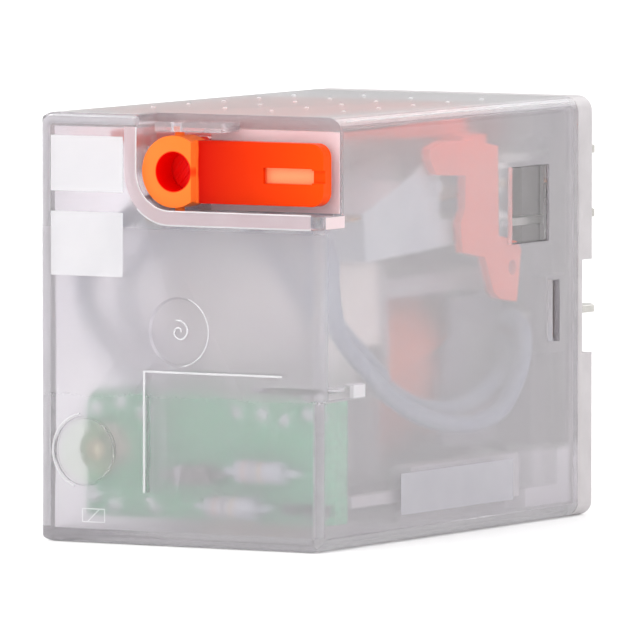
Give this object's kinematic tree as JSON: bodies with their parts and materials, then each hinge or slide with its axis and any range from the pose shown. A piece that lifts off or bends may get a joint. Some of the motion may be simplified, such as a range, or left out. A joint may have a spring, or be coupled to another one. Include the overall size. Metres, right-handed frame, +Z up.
{
  "type": "plug-in control relay",
  "caption": "Plug-in control relay: frosted clear cover over coil, armature and contact springs, flat blades at the rear, orange swing-out test lever in a front corner.",
  "frame": {"origin": "middle of the box on the narrow side that the relay lies on", "axes": "+X across the narrow body towards the side the lever tab ends at, +Y from the front face to the plug-in blades, +Z up the tall side of the front face"},
  "size_m": [0.0208, 0.0416, 0.0275],
  "materials": {
    "clear_plastic": "clear polycarbonate, frosted outside, with polished windows",
    "base_plastic": "natural translucent moulding, satin",
    "white_plastic": "satin moulding",
    "cream_plastic": "satin moulding",
    "orange_plastic": "semi-gloss moulding",
    "steel": "nickel plated",
    "spring_metal": "bronze spring strip",
    "tinned_blade": "tinned copper alloy",
    "silver": "silver contact alloy",
    "coil_tape": "copper coloured wrap",
    "lead_insulation": "blue-grey sleeve",
    "board_green": "solder mask on glass laminate",
    "led_lens": "water clear lens",
    "ceramic": "lacquered ceramic",
    "dark_glass": "dark sleeve or glass"
  },
  "bodies": {
    "housing": {"cover": "clear_plastic", "base": "base_plastic", "yoke": "steel", "core": "steel", "bobbin": "cream_plastic", "coil_winding": "coil_tape", "coil_cradle": "white_plastic", "armature_retainer": "spring_metal", "return_spring": "steel", "circuit_board": "board_green", "indicator_led": "led_lens", "series_resistor_1": "ceramic", "series_resistor_2": "ceramic", "protection_diode": "dark_glass", "coil_lead_1": "dark_glass", "coil_lead_2": "dark_glass", "coil_blade_1": "tinned_blade", "coil_blade_2": "tinned_blade", "nc_blade_1": "tinned_blade", "nc_contact_1": "silver", "no_blade_1": "tinned_blade", "no_contact_1": "silver", "com_blade_1": "tinned_blade", "lead_wire_1": "lead_insulation", "nc_blade_2": "tinned_blade", "nc_contact_2": "silver", "no_blade_2": "tinned_blade", "no_contact_2": "silver", "com_blade_2": "tinned_blade", "lead_wire_2": "lead_insulation", "nc_blade_3": "tinned_blade", "nc_contact_3": "silver", "no_blade_3": "tinned_blade", "no_contact_3": "silver", "com_blade_3": "tinned_blade", "lead_wire_3": "lead_insulation", "nc_blade_4": "tinned_blade", "nc_contact_4": "silver", "no_blade_4": "tinned_blade", "no_contact_4": "silver", "com_blade_4": "tinned_blade", "lead_wire_4": "lead_insulation"},
    "test_lever": {"test_lever": "orange_plastic"},
    "test_slider": {"test_slider": "orange_plastic"},
    "armature": {"armature": "steel", "contact_carrier": "white_plastic", "moving_spring_1": "spring_metal", "moving_spring_2": "spring_metal", "moving_spring_3": "spring_metal", "moving_spring_4": "spring_metal", "moving_contact_1": "silver", "moving_contact_2": "silver", "moving_contact_3": "silver", "moving_contact_4": "silver"}
  },
  "joints": [
    {"name": "test_lever_swing", "type": "hinge", "parent": "housing", "child": "test_lever", "pos_m": [-0.00065, -0.0195, 0.0239], "axis": [0, 0, -1], "range_deg": [0, 90]},
    {"name": "test_slider_push", "type": "slide", "parent": "housing", "child": "test_slider", "axis": [0, 1, 0], "range_m": [0, 0.0013]},
    {"name": "armature_tilt", "type": "hinge", "parent": "housing", "child": "armature", "pos_m": [0, -0.0088, 0.0027], "axis": [-1, 0, 0], "range_deg": [0, 3.6], "stiffness_Nm_per_rad": 0.03, "springref_deg": -2.86, "deforming": ["return_spring"]}
  ],
  "couplings": [
    {"joint": "test_lever_swing", "follows": "armature_tilt", "ratio": 25},
    {"joint": "test_slider_push", "follows": "armature_tilt", "m_per_rad": 0.02069}
  ]
}
